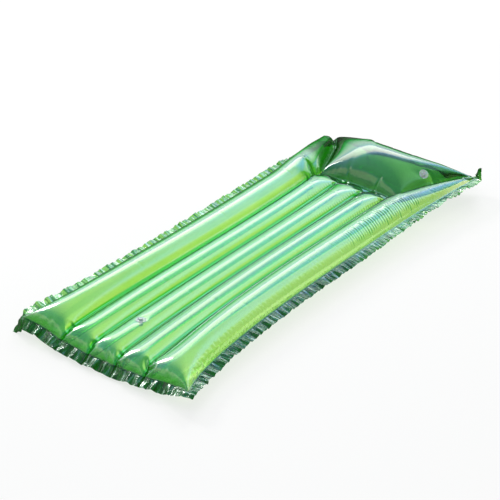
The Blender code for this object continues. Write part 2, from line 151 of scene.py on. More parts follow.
def rest_lengths(flat):
    def between(a, b):
        return np.sqrt((flat.x[a] - flat.x[b]) ** 2 + (flat.along[a] - flat.along[b]) ** 2)

    cols = between(np.s_[:, :-1], np.s_[:, 1:])
    rows = between(np.s_[:-1], np.s_[1:])
    away, along = np.abs(flat.across), flat.along
    grow = EDGE_GROW - WELD_SHRINK
    out = np.clip((away - 0.355) / 0.045, 0, 1)
    rows *= np.where(away[1:] >= 0.355, WELD_SHRINK + grow * out[1:], 1.0)
    out = np.clip(np.maximum(FOOT_WELD - along, along - HEAD_WELD) / 0.04, 0, 1)
    ends = (along[:, 1:] <= FOOT_WELD + TINY) | (along[:, 1:] >= HEAD_WELD - TINY)
    cols *= np.where(ends, WELD_SHRINK + grow * out[:, 1:], 1.0)
    return SimpleNamespace(
        cols=cols, rows=rows,
        diagonal=between(np.s_[:-1, :-1], np.s_[1:, 1:]),
        cross=between(np.s_[:-1, 1:], np.s_[1:, :-1]),
        bend_cols=between(np.s_[:, :-2], np.s_[:, 2:]),
        bend_rows=between(np.s_[:-2], np.s_[2:]))


def edge_hang(flat):
    """Pull on the free edge as a factor: positive hangs, negative stands out."""
    across, along = flat.across, flat.along
    hang = np.where(across > 0.36, np.clip((1.45 - along) / 0.35, -0.2, 1) * 1.5, 0)
    left = np.interp(along, [0.0, 0.06, 1.45, 1.62], [1.0, -0.7, -0.7, 1.6])
    hang = np.where(across < -0.36, left, hang)
    hang = np.where((along < FOOT_WELD) & (across > -0.35), 3.0, hang)
    hang = np.where((along > HEAD_WELD) & (across < 0.33), 2.5, hang)
    return np.where((along > HEAD_WELD - 0.03) & (across > 0.35), -2.5, hang)


def valve_pins(flat):
    """Grid points under each valve disc and the flat places they are held at."""
    pins = []
    for valve in VALVES.values():
        (across, along), normal = valve["pattern"], np.array(valve["normal"])
        centre = np.array(valve["at"]) - (0, OBJECT_Y, 0)
        dx, dy = flat.x - across, flat.along - along
        row, col = np.where(np.hypot(dx, dy) <= DISC_HOLD_RADIUS)
        axis_x = np.array([1.0, 0, 0])
        axis_x = axis_x - normal * axis_x.dot(normal)
        axis_x /= np.linalg.norm(axis_x)
        axis_y = np.cross(normal, axis_x)
        place = centre[:, None] + axis_x[:, None] * dx[row, col] + axis_y[:, None] * dy[row, col]
        pins.append((row, col, place))
    return pins


def solve(films, flat, rng, steps, pressure, damping, bend, shear, noise, flange_noise,
          weight, flange_weight, pinned):
    films[2] += rng.normal(0, noise, films[2].shape) * 0.5
    if flange_noise:
        films[2] += (rng.normal(0, flange_noise, flat.x.shape) * flat.flange)[None]
    rest = rest_lengths(flat)
    outward = np.array([1.0, -1.0])[None, :, None, None]
    push = ((~flat.weld)[None, None].astype(float) * outward * pressure
            / (4 * flat.step * flat.step))
    pull = np.where(flat.flange, flange_weight * edge_hang(flat), weight)
    pins = valve_pins(flat) if pinned else ()
    web_row, web_col = np.where(flat.web)
    web_length = flat.web_height[web_row, web_col]
    weld_row, weld_col = np.where(flat.weld)
    velocity = np.zeros_like(films)
    du, dv, force = np.zeros_like(films), np.zeros_like(films), np.empty_like(films)
    for _ in range(steps):
        du[..., 1:-1] = films[..., 2:] - films[..., :-2]
        dv[:, :, 1:-1] = films[:, :, 2:] - films[:, :, :-2]
        force[0] = du[1] * dv[2] - du[2] * dv[1]
        force[1] = du[2] * dv[0] - du[0] * dv[2]
        force[2] = du[0] * dv[1] - du[1] * dv[0]
        force *= push
        force[2] -= pull
        before = films.copy()
        velocity *= damping
        velocity += force
        films += velocity
        # stretch, then shear, then bending; each pass takes pairs that share no point
        for s in (0, 1):
            constrain(films[..., s:-1:2], films[..., s + 1::2], rest.cols[:, s::2], 1.0)
            constrain(films[:, :, s:-1:2], films[:, :, s + 1::2], rest.rows[s::2], 1.0)
        for s in (0, 1):
            constrain(films[:, :, s:-1:2, :-1], films[:, :, s + 1::2, 1:],
                      rest.diagonal[s::2], shear)
            constrain(films[:, :, s:-1:2, 1:], films[:, :, s + 1::2, :-1],
                      rest.cross[s::2], shear)
        for s in range(4):
            constrain(films[..., s:-2:4], films[..., s + 2::4], rest.bend_cols[:, s::4],
                      bend, push_only=True)
            constrain(films[:, :, s:-2:4], films[:, :, s + 2::4], rest.bend_rows[s::4],
                      bend, push_only=True)
        # webs are straps: they only pull
        upper, lower = films[:, 0, web_row, web_col], films[:, 1, web_row, web_col]
        gap = lower - upper
        length = np.sqrt((gap * gap).sum(0))
        move = 0.5 * np.maximum((length - web_length) / np.maximum(length, 1e-9), 0) * gap
        films[:, 0, web_row, web_col] = upper + move
        films[:, 1, web_row, web_col] = lower - move
        middle = 0.5 * (films[:, 0, weld_row, weld_col] + films[:, 1, weld_row, weld_col])
        films[:, 0, weld_row, weld_col] = middle
        films[:, 1, weld_row, weld_col] = middle
        for row, col, place in pins:
            films[:, 0, row, col] = place
        np.maximum(films[2], 0.0, out=films[2])
        velocity = films - before
    return films


# one entry per pattern level, coarse to fine
STAGES = [
    dict(steps=1500, pressure=2e-5, damping=0.99, bend=0.02, shear=0.5, noise=0.0005,
         flange_noise=0, weight=2e-7, flange_weight=2e-7, pinned=False),
    dict(steps=450, pressure=6e-6, damping=0.985, bend=0.02, shear=0.5, noise=0.0002,
         flange_noise=0.0006, weight=1e-7, flange_weight=2e-7, pinned=True),
    dict(steps=500, pressure=2.5e-6, damping=0.98, bend=0.03, shear=0.5,
         noise=0.0001, flange_noise=0.0008, weight=5e-8, flange_weight=1.2e-7, pinned=True),
]


def flat_films(flat):
    """Starting sheets: flat, a little above the floor and slightly parted."""
    films = np.zeros((3, 2) + flat.x.shape)
    films[0], films[1], films[2] = flat.x, flat.along, 0.065
    films[2, 0][~flat.weld] += 0.004
    films[2, 1][~flat.weld] -= 0.004
    return films


def inflate():
    rng = np.random.default_rng(3)
    films = None
    for level, stage in enumerate(STAGES):
        flat = pattern(level)
        films = flat_films(flat) if films is None else upsample(films)
        films = solve(films, flat, rng, **stage)
    films[1] += OBJECT_Y
    return films, flat


# ---------------------------------------------------------------- mesh helpers
def grid_normals(grid):
    """Normals of a (3, rows, columns) sheet, on its +Z side."""
    normal = np.cross(np.gradient(grid, axis=2), np.gradient(grid, axis=1), axis=0)
    return normal / np.maximum(np.linalg.norm(normal, axis=0), 1e-12)


def refine_rows(grid, rows):
    """Adds a smooth row after each row flagged in rows (one flag per gap)."""
    count = grid.shape[-2]
    j = np.arange(count - 1)
    near = grid[..., j, :] + grid[..., j + 1, :]
    far = grid[..., np.maximum(j - 1, 0), :] + grid[..., np.minimum(j + 2, count - 1), :]
    middle = (9 * near - far) / 16
    out = []
    for k in range(count):
        out.append(grid[..., k, :])
        if k < count - 1 and rows[k]:
            out.append(middle[..., k, :])
    return np.stack(out, axis=-2)


def sheet(name, grid, attributes, flip=False, drop=None):
    """Mesh object from a (3, rows, columns) grid; drop flags faces to leave out."""
    _, rows, cols = grid.shape
    index = np.arange(rows * cols).reshape(rows, cols)
    corners = [index[:-1, :-1], index[:-1, 1:], index[1:, 1:], index[1:, :-1]]
    quads = np.stack(corners, -1).reshape(-1, 4)
    if drop is not None:
        quads = quads[~drop.reshape(-1)]
    if flip:
        quads = quads[:, ::-1]
    used = np.unique(quads)
    remap = np.full(rows * cols, -1)
    remap[used] = np.arange(len(used))
    mesh = bpy.data.meshes.new(name)
    mesh.from_pydata(grid.reshape(3, -1).T[used].tolist(), [], remap[quads].tolist())
    for key, value in attributes.items():
        if value.ndim == 3:
            layer = mesh.attributes.new(key, "FLOAT_VECTOR", "POINT")
            vectors = value.reshape(3, -1).T[used]
            layer.data.foreach_set("vector", vectors.astype(np.float32).ravel())
        else:
            layer = mesh.attributes.new(key, "FLOAT", "POINT")
            layer.data.foreach_set("value", value.reshape(-1)[used].astype(np.float32))
    mesh.shade_smooth()
    mesh.update()
    return add_look(name, mesh)


def add_look(name, data):
    ob = bpy.data.objects.new(name, data)
    look.objects.link(ob)
    return ob


# ------------------------------------------------------------------- free edge
def wave(place, length, height, seed):
    """Sine pleats whose phase and height wander."""
    knots = np.linspace(-0.5, 2.0, 126)
    rng = np.random.default_rng(seed)
    phase = np.interp(place, knots, np.cumsum(rng.normal(0, 0.85, len(knots))))
    vary = np.interp(place, knots, np.clip(rng.normal(1.0, 0.55, len(knots)), 0.1, 2.2))
    return height * vary * np.sin(2 * math.pi * place / length + phase)


def shape_free_edge(films, flat):
    """Pleats of the crushed edge, the drawn-in left of the head, and two bent corners."""
    across, along = flat.across, flat.along
    side_out = np.clip((np.abs(across) - 0.362) / 0.038, 0, 1)
    past_end = np.maximum(FOOT_WELD - 0.002 - along, along - HEAD_WELD - 0.002)
    end_out = np.clip(past_end / 0.038, 0, 1)
    right_height = np.interp(along, [0.0, 0.9, 1.2, 1.86], [0.0022, 0.0022, 0.0034, 0.0038])
    side = np.where(across > 0,
                    wave(along, 0.024, 1.0, 21) * right_height + wave(along, 0.0135, 0.0008, 22),
                    wave(along, 0.030, 0.0026, 23) + wave(along, 0.0145, 0.0009, 24))
    ends = wave(across, 0.034, 0.0020, 25) + wave(across, 0.015, 0.0007, 26)
    pleat = side * side_out ** 1.2 + ends * end_out ** 1.2 * (1 - 0.5 * side_out)
    films = films + grid_normals(films[:, 0])[:, None] * pleat[None, None]

    # the left end is drawn towards the foot and down where the tube meets the pillow
    films[1] -= (0.052 * smoothstep(-0.08, -0.34, across) * smoothstep(1.30, 1.84, along))[None]
    films[2] -= (0.026 * smoothstep(0.02, -0.26, across) * smoothstep(1.36, 1.80, along))[None]
    bulge = (smoothstep(-0.362, -0.30, across) * smoothstep(-0.18, -0.24, across)
             * smoothstep(1.26, 1.66, along) * smoothstep(1.822, 1.755, along))
    films[2, 0] += 0.030 * bulge
    films[0, 0] -= 0.010 * bulge

    # foot-left corner droops past a diagonal
    corner = (across < -0.34) & (along < 0.04)
    reach = np.clip(-across - SIDE_WELD + FOOT_WELD - along, 0, None) / math.sqrt(2) * corner
    angle = math.radians(-38.0) * smoothstep(0.0, 0.022, reach)
    diagonal = np.array([-1, -1, 0.0])[:, None, None, None]
    films = films + ((np.cos(angle) - 1) * reach)[None, None] * diagonal / math.sqrt(2)
    films[2] += (np.sin(angle) * reach)[None]

    # head-right corner stands up as a tab
    reach = np.clip(along - HEAD_WELD + 0.030 * smoothstep(0.352, 0.39, across), 0, None)
    angle = (math.radians(82.0) * smoothstep(0.24, 0.32, across)
             * smoothstep(0.0, 0.010, reach))
    films[1] += ((np.cos(angle) - 1) * reach)[None]
    films[2] += (np.sin(angle) * reach * 0.85)[None]
    films[0] -= (0.22 * np.sin(angle) * reach)[None]
    films[2] = np.maximum(films[2], 0.0)
    return films


look = bpy.data.collections.new("lounger_look")
bpy.context.scene.collection.children.link(look)


# ------------------------------------------------------------------- the films
def web_distance(across):
    """Signed distance to the nearest web line, capped at 0.2."""
    nearest = np.full(across.shape, 0.2)
    for centre in WEB_CENTRES:
        gap = across - centre
        nearest = np.where(np.abs(gap) < np.abs(nearest), gap, nearest)
    return nearest


def film_attributes(across, along, flat_x):
    """pat: pattern place; rim: 0 at the weld to 1 at the edge; dw: web distance; shade: painted
    shade on the free edge; seam: distance to a weld; pillow: 1 on the pillow."""
    away = np.abs(across)
    rim = np.maximum.reduce([(away - SIDE_WELD) / FLANGE_WIDTH,
                             (FOOT_WELD - along) / FLANGE_WIDTH,
                             (along - HEAD_WELD) / FLANGE_WIDTH])
    # the web lines fade out past the pillow weld
    web_gap = web_distance(across)
    past = along - PILLOW_WELD - 0.005
    web_gap = np.where(along > PILLOW_WELD + 0.005,
                       np.sign(web_gap) * np.minimum(np.abs(web_gap) + 2 * past, 0.2), web_gap)
    perimeter = np.minimum.reduce([np.abs(away - SIDE_WELD), np.abs(along - FOOT_WELD),
                                   np.abs(along - HEAD_WELD)])
    pillow_front = np.where(away <= 0.20, np.abs(along - PILLOW_WELD), 0.2)
    pillow_side = np.where(along >= PILLOW_WELD, np.abs(away - 0.18), 0.2)
    pillow = (smoothstep(PILLOW_WELD - 0.01, PILLOW_WELD + 0.03, along)
              * smoothstep(0.19, 0.17, away))
    # painted shade on the free edge: right side, left side, foot and head
    right = smoothstep(0.352, 0.362, across) * np.interp(
        along, [0.0, 0.95, 1.08, 1.25, 1.78, 1.83], [1.0, 1.0, 0.75, 0.45, 0.4, 1.0])
    left = smoothstep(-0.352, -0.362, across) * np.interp(
        along, [0.0, 0.1, 0.3, 1.3, 1.6], [0.8, 0.35, 0.25, 0.35, 0.6])
    left = left * (1 - 0.5 * np.clip(rim, 0, 1))
    foot = smoothstep(FOOT_WELD + 0.008, FOOT_WELD - 0.002, along)
    head = smoothstep(HEAD_WELD - 0.008, HEAD_WELD + 0.002, along) * 0.8
    return {"pat": np.stack([flat_x, along, np.zeros_like(along)]), "rim": rim, "dw": web_gap,
            "shade": np.maximum.reduce([right, left, foot, head]),
            "seam": np.minimum.reduce([perimeter, pillow_front, pillow_side]),
            "pillow": pillow}


def hole_faces(radius):
    """Faces with all four corners inside the cut."""
    inside = radius < CUT_RADIUS
    return inside[:-1, :-1] & inside[:-1, 1:] & inside[1:, 1:] & inside[1:, :-1]


def snap_ring(grid, radius, valve):
    """Flattens points inside the cut and pushes those inside the hole out to its round edge."""
    normal = np.array(valve["normal"])
    row, col = np.where(radius < CUT_RADIUS)
    centre = np.array(valve["at"])[:, None]
    arm = grid[:, row, col] - centre
    arm -= normal[:, None] * (normal @ arm)[None]
    length = np.maximum(np.linalg.norm(arm, axis=0), 1e-6)
    scale = np.where(radius[row, col] < HOLE_RADIUS, HOLE_RADIUS / length, 1.0)
    grid[:, row, col] = centre + arm * scale


# packing folds: (along, depth, tilt)
FOLDS = ((0.462, 0.00030, 0.02), (0.905, 0.00040, -0.015),
         (0.948, 0.00018, 0.01), (1.325, 0.00035, 0.03))


def ripples(grid, across, along):
    """Gathers and folds. Returns the sheet and the gathers, troughs below 0, crests above."""
    rng = np.random.default_rng(11)
    wander = np.interp(along, np.linspace(0.8, 1.9, 60), np.cumsum(rng.normal(0, 0.0017, 60)))
    # on the rightmost tube each gather starts and ends at its own place across
    knots = np.linspace(0.8, 1.9, 170)
    inner_end = np.interp(along, knots, rng.normal(0.262, 0.013, 170))
    outer_end = np.interp(along, knots, rng.normal(0.336, 0.009, 170))
    mask = smoothstep(0.93, 1.22, along) * smoothstep(1.53, 1.46, along)
    mask = (mask * smoothstep(0, 0.022, across - inner_end)
            * smoothstep(0, 0.016, outer_end - across))
    patch = 0.72 + 0.38 * np.sin(along * 37 + across * 20) * np.sin(along * 91 - 1.3)
    gather = mask * patch * np.sin(
        2 * math.pi * (along + wander + 0.10 * (across - 0.25)) / 0.0128)
    relief = 0.00075 * gather
    # finer gathers next to the webs
    gap = np.abs(web_distance(across))
    mask = (smoothstep(0.030, 0.008, gap) * smoothstep(0.006, 0.012, gap)
            * smoothstep(0.95, 1.2, along) * smoothstep(1.49, 1.40, along))
    web_gather = mask * np.sin(2 * math.pi * (along + wander * 0.5 + 0.25 * across) / 0.0130)
    relief += 0.00035 * web_gather
    inner = smoothstep(0.355, 0.33, np.abs(across))
    for place, depth, tilt in FOLDS:
        gap = along - place - tilt * across + 0.0015 * np.sin(across * 60)
        relief += (-depth * np.exp(-(gap / 0.0035) ** 2) * inner
                   * (0.4 + 0.6 * np.abs(np.sin(across * 26 + place * 9))))
    return grid + grid_normals(grid) * relief[None], gather + 0.6 * web_gather


def upper_film():
    middle = 0.5 * (flat.along[:-1, 0] + flat.along[1:, 0])
    rows = (middle > 0.93) & (middle < 1.53)       # finer where the gathers are
    grid, across, along, flat_x = (refine_rows(values, rows) for values in
                                   (films[:, 0], flat.across, flat.along, flat.x))
    grid, gathers = ripples(grid, across, along)
    grid += grid_normals(grid) * FILM_OFFSET
    drop = False
    for valve in VALVES.values():
        radius = np.hypot(flat_x - valve["pattern"][0], along - valve["pattern"][1])
        snap_ring(grid, radius, valve)
        drop = drop | hole_faces(radius)
    attributes = dict(film_attributes(across, along, flat_x), rip=gathers)
    return sheet("film_upper_inflated", grid, attributes, drop=drop)


def lower_film():
    grid = films[:, 1] - grid_normals(films[:, 1]) * FILM_OFFSET
    grid[2] = np.maximum(grid[2], 0.0)
    attributes = film_attributes(flat.across, flat.along, flat.x)
    return sheet("film_lower_inflated", grid, attributes, flip=True)


def web_strip(name, band):
    """C-section strip: a leg under the upper film, the web, a leg on the lower film."""
    first, last = flat.columns[band], flat.columns[band + 1]
    rows = np.where(flat.web[:, first])[0]
    cols = list(range(first, last + 1))
    on_right = flat.across[0, first] > 0
    if on_right:
        cols = cols[::-1]

    def strip(grid):
        return grid[:, rows][:, :, cols]

    upper = strip(films[:, 0]) - strip(grid_normals(films[:, 0])) * WEB_OFFSET
    lower = strip(films[:, 1]) + strip(grid_normals(films[:, 1])) * WEB_OFFSET
    down = np.linspace(0, 1, 10)[1:-1]
    wall = upper[..., -1][..., None] * (1 - down) + lower[..., -1][..., None] * down
    along = flat.along[rows, 0]
    wall[0] += 0.0010 * np.sin(along * 23 + band)[:, None] * np.sin(down * math.pi)
    grid = np.concatenate([upper, wall, lower[..., ::-1]], axis=-1)

    def per_row(upper_leg, middle, lower_leg):
        row = [np.full(len(cols), upper_leg), middle, np.full(len(cols), lower_leg)]
        return np.tile(np.concatenate(row), (len(rows), 1))

    depth = per_row(0.0, down, 1.0)
    place = np.stack([depth * WEB_HEIGHT, np.tile(along[:, None], (1, grid.shape[-1])),
                      np.zeros_like(depth)])
    leg = per_row(1.0, np.zeros(len(down)), 1.0)
    return sheet(name, grid, {"pat": place, "leg": leg}, flip=on_right)


films, flat = inflate()
films = shape_free_edge(films, flat)
film_top = upper_film()
film_bottom = lower_film()
webs = [web_strip("web_strip_%d" % (i + 1), band) for i, band in enumerate(WEB_BANDS)]

# ------------------------------------------------------------------ the valves
# (radius, z) outlines in millimetres, z along the valve's normal
# welded disc with a stepped ring, and the sleeve around the stem
DISC_OUTLINE = [
    (6.2, -8.0), (7.4, -8.0), (7.4, -0.2), (7.5, 0.1), (7.9, 0.3), (17.6, 0.3), (17.9, 0.42),
    (18.0, 0.62), (17.8, 0.78), (17.2, 0.86), (16.6, 0.92), (16.1, 1.08), (15.6, 1.10),
    (15.1, 1.06), (14.7, 0.90), (11.4, 0.88), (11.0, 1.04), (10.5, 1.10), (10.0, 1.04),
    (9.6, 0.94), (8.7, 1.00), (8.1, 1.2), (7.65, 1.7), (7.45, 2.2), (7.4, 2.8), (7.25, 2.96),
    (7.0, 3.0), (6.6, 3.0), (6.3, 2.9), (6.2, 2.7)]
STEM_OUTLINE = [
    (4.6, -16.2), (3.5, -16.2), (3.4, -16.3), (3.4, -16.7), (3.5, -16.8), (4.6, -16.8),
    (4.6, -19.7), (4.8, -20.0), (6.9, -20.0), (7.15, -19.8), (7.2, -19.4), (7.1, -18.95),
    (6.7, -18.8), (6.1, -18.78), (5.9, -18.5), (5.9, -10.2), (6.0, -9.9), (6.0, -9.4),
    (5.9, -9.1), (5.9, 4.1), (5.85, 4.4), (5.6, 4.6), (4.95, 4.6), (4.7, 4.5), (4.6, 4.2)]
STRAP_RING_OUTLINE = [(6.2, 3.45), (6.3, 3.3), (7.25, 3.3), (7.4, 3.45),
                      (7.4, 4.15), (7.25, 4.3), (6.3, 4.3), (6.2, 4.15)]
# domed cap with a grip ring, on its stud
PLUG_OUTLINE = [
    (0, 0.6), (2.3, 0.6), (2.75, 0.75), (2.95, 1.1), (3.0, 2.0), (2.9, 3.0), (3.0, 4.2),
    (3.1, 4.75), (3.5, 4.9), (5.9, 4.9), (6.15, 5.05), (6.2, 5.35), (6.2, 5.75), (6.05, 6.0),
    (5.6, 6.16), (5.0, 6.22), (4.5, 6.1), (4.1, 5.98), (3.6, 6.02), (3.0, 6.2), (1.6, 6.3),
    (0, 6.3)]
# thin check disc with a bead at its edge
FLAP_OUTLINE = [(0, -17.55), (2.9, -17.55), (3.3, -17.6), (3.6, -17.55), (3.7, -17.4),
                (3.65, -17.2), (3.45, -17.1), (3.1, -17.12), (2.7, -17.16), (0, -17.16)]
# (x, z) centre lines in millimetres
STRAP_TONGUE_PATH = [(-6.7, 3.8), (-7.6, 3.8), (-8.6, 3.84), (-9.6, 3.92),
                     (-10.6, 3.96), (-11.5, 3.92), (-12.2, 3.84), (-12.6, 3.8)]
PLUG_ARM_PATH = [(-5.2, 5.45), (-6.4, 5.45), (-7.8, 5.4), (-9.2, 5.3),
                 (-10.4, 5.16), (-11.4, 4.98), (-12.2, 4.78), (-12.75, 4.64)]
BAR_THICKNESS = 0.84
MM = 1e-3


def to_mesh(bm):
    bmesh.ops.recalc_face_normals(bm, faces=bm.faces)
    mesh = bpy.data.meshes.new("part")
    bm.to_mesh(mesh)
    bm.free()
    return mesh


def lathe(outline, segments=96):
    """Turns a closed (radius, z) outline about z."""
    bm = bmesh.new()
    rings = []
    for i in range(segments):
        a = 2 * math.pi * i / segments
        rings.append([bm.verts.new((r * MM * math.cos(a), r * MM * math.sin(a), z * MM))
                      for r, z in outline])
    for i in range(segments):
        ring, following = rings[i], rings[(i + 1) % segments]
        for j in range(len(outline)):
            k = (j + 1) % len(outline)
            if outline[j][0] < 1e-6 and outline[k][0] < 1e-6:
                continue
            bm.faces.new((ring[j], following[j], following[k], ring[k]))
    bmesh.ops.remove_doubles(bm, verts=bm.verts, dist=1e-7)
    return to_mesh(bm)


def bar(path, width):
    """Flat strap along an (x, z) path, with rounded edges and a narrowed far end."""
    points = np.array(path, float)
    tangents = np.gradient(points, axis=0)
    tangents /= np.linalg.norm(tangents, axis=1)[:, None]
    normals = np.stack([-tangents[:, 1], tangents[:, 0]], 1)
    half, thick, edge = width / 2, BAR_THICKNESS / 2, min(width, BAR_THICKNESS) * 0.28
    section = []
    for cx, cz, start in ((half - edge, thick - edge, 0), (-half + edge, thick - edge, 90),
                          (-half + edge, -thick + edge, 180), (half - edge, -thick + edge, 270)):
        for i in range(4):
            a = math.radians(start + 90 * i / 3)
            section.append((cx + edge * math.cos(a), cz + edge * math.sin(a)))
    bm = bmesh.new()
    loops = []
    for i, ((x, z), (nx, nz)) in enumerate(zip(points, normals)):
        narrow = 0.72 if i == len(points) - 1 else 1.0
        loops.append([bm.verts.new(((x + nx * b) * MM, a * narrow * MM, (z + nz * b) * MM))
                      for a, b in section])
    count = len(section)
    for loop, following in zip(loops[:-1], loops[1:]):
        for j in range(count):
            k = (j + 1) % count
            bm.faces.new((loop[j], loop[k], following[k], following[j]))
    bm.faces.new(loops[0][::-1])
    bm.faces.new(loops[-1])
    return to_mesh(bm)


def union(mesh, other):
    """Exact boolean union of two meshes, as a new mesh."""
    base, tool = add_look("tmp_a", mesh), add_look("tmp_b", other)
    join = base.modifiers.new("join", "BOOLEAN")
    join.operation, join.solver, join.object = "UNION", "EXACT", tool
    graph = bpy.context.evaluated_depsgraph_get()
    joined = bpy.data.meshes.new_from_object(base.evaluated_get(graph))
    bpy.data.objects.remove(base)
    bpy.data.objects.remove(tool)
    return joined


def axes_matrix(x, y, z, origin):
    return Matrix.Translation(origin) @ Matrix((x, y, z)).transposed().to_4x4()


def valve_pieces(name, valve):
    z_axis = Vector(valve["normal"]).normalized()
    x_axis = Vector(valve["x"]).normalized()
    matrix = axes_matrix(x_axis, z_axis.cross(x_axis), z_axis, Vector(valve["at"]))
    prefix = name.split("_")[0]
    strap = union(lathe(STRAP_RING_OUTLINE), bar(STRAP_TONGUE_PATH, width=5.0))
    plug = union(lathe(PLUG_OUTLINE), bar(PLUG_ARM_PATH, width=4.4))
    # (object suffix, mesh, body it rides, CAD node suffix, slot)
    pieces = [
        ("_disc", lathe(DISC_OUTLINE), "mat", "_base", "valve_clear"),
        ("_tube", lathe(STEM_OUTLINE), prefix + "_stem", "_stem", "valve_clear"),
        ("_strap_loop", strap, prefix + "_stem", "_strap", "valve_clear"),
        ("_stopper", plug, prefix + "_plug", "_plug", "valve_clear"),
        ("_check_disc", lathe(FLAP_OUTLINE, 72), prefix + "_flap", "_flap", "valve_flap"),
    ]
    made = []
    for suffix, mesh, body, node, slot in pieces:
        mesh.name = name + suffix
        mesh.transform(matrix)
        mesh.shade_smooth()
        mesh.set_sharp_from_angle(angle=math.radians(35))
        ob = add_look(name + suffix, mesh)
        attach(ob, body)
        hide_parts(name + node)
        made.append((ob, slot))
    return made


valve_objects = [piece for name, valve in VALVES.items() for piece in valve_pieces(name, valve)]


# ------------------------------------------------------------------- materials
class Tree:
    """Short calls for building a shader tree; values may be sockets or constants."""

    def __init__(self, owner):
        owner.use_nodes = True
        self.owner = owner
        self.tree = owner.node_tree
        self.tree.nodes.clear()

    def put(self, socket, value):
        if isinstance(value, bpy.types.NodeSocket):
            self.tree.links.new(value, socket)
        elif socket.type == "RGBA":
            socket.default_value = tuple(value) + (1,)
        else:
            socket.default_value = value

    def node(self, kind, *values, settings=None, **named):
        """values fill inputs in order, None skips one; Base_Color= means "Base Color"."""
        node = self.tree.nodes.new("ShaderNode" + kind)
        for key, value in (settings or {}).items():
            setattr(node, key, value)
        for socket, value in zip(node.inputs, values):
            if value is not None:
                self.put(socket, value)
        for key, value in named.items():
            self.put(node.inputs[key.replace("_", " ")], value)
        return node

    def make(self, kind, *values, **named):
        return self.node(kind, *values, **named).outputs[0]

    def math(self, operation, *values):
        return self.make("Math", *values, settings=dict(operation=operation))

    def times(self, value, *factors):
        for factor in factors:
            value = self.math("MULTIPLY", value, factor)
        return value

    def invert(self, value):
        return self.math("SUBTRACT", 1.0, value)

    def dim(self, value, amount):
        """value * (1 - amount)"""
        return self.times(value, self.invert(amount))

    def raise_by(self, value, *factors):
        return self.math("ADD", value, self.times(*factors))

    def attr(self, name, output="Fac"):
        return self.node("Attribute", settings=dict(attribute_name=name)).outputs[output]

    def split(self, vector):
        return self.node("SeparateXYZ", vector).outputs

    def ramp(self, value, stops):
        """stops: (position, colour or grey)"""
        node = self.node("ValToRGB", value)
        elements = node.color_ramp.elements
        while len(elements) < len(stops):
            elements.new(0.5)
        for element, (position, _) in zip(elements, stops):
            element.position = position
        for element, (_, colour) in zip(elements, stops):
            element.color = (colour if isinstance(colour, tuple) else (colour,) * 3) + (1,)
        return node.outputs[0]

    def span(self, value, start, end, low=0.0, high=1.0):
        """Smooth step from low at start to high at end."""
        return self.make("MapRange", value, start, end, low, high,
                         settings=dict(interpolation_type="SMOOTHSTEP"))

    def window(self, value, rise, fall):
        return self.times(self.span(value, *rise), self.span(value, *fall))

    def blend(self, amount, first, second, mode="MIX"):
        node = self.node("Mix", amount, settings=dict(data_type="RGBA", blend_type=mode))
        self.put(node.inputs[6], first)
        self.put(node.inputs[7], second)
        return node.outputs[2]

    def tint(self, base, amount, colour):
        return self.blend(amount, base, colour, "MULTIPLY")

    def noise(self, vector, scale=1.0, detail=2.0, roughness=0.5, distortion=0.0, stretch=None):
        if stretch:
            vector = self.make("Mapping", vector, Scale=stretch)
        return self.make("TexNoise", Vector=vector, Scale=scale, Detail=detail,
                         Roughness=roughness, Distortion=distortion)

    def bump(self, height, distance, strength, **normal):
        return self.make("Bump", Height=height, Distance=distance, Strength=strength, **normal)

    def facing(self, normal):
        """0 seen square on, 1 at grazing angles."""
        return self.node("LayerWeight", Blend=0.5, Normal=normal).outputs["Facing"]

    def mix(self, amount, first, second):
        return self.make("MixShader", amount, first, second)

    def finish(self, shader, kind="OutputMaterial"):
        self.node(kind, shader)
        return self.owner


# transmitted colour by facing
UPPER_TINT = [
    (0.0, (0.74, 0.94, 0.44)), (0.32, (0.74, 0.95, 0.43)), (0.40, (0.55, 0.88, 0.38)),
    (0.54, (0.38, 0.79, 0.31)), (0.64, (0.29, 0.74, 0.27)), (0.78, (0.12, 0.56, 0.11)),
    (0.92, (0.03, 0.27, 0.03)), (1.0, (0.01, 0.10, 0.02))]
LOWER_TINT = [(0.0, (0.62, 0.90, 0.34)), (0.50, (0.60, 0.89, 0.33)),
              (0.75, (0.54, 0.86, 0.31)), (1.0, (0.28, 0.66, 0.18))]
# share of mirror reflection by facing
FILM_MIRROR = [(0.0, 0.08), (0.31, 0.13), (0.36, 0.17), (0.42, 0.25), (0.50, 0.38),
               (0.64, 0.50), (0.76, 0.52), (0.85, 0.30), (0.93, 0.08), (1.0, 0.05)]


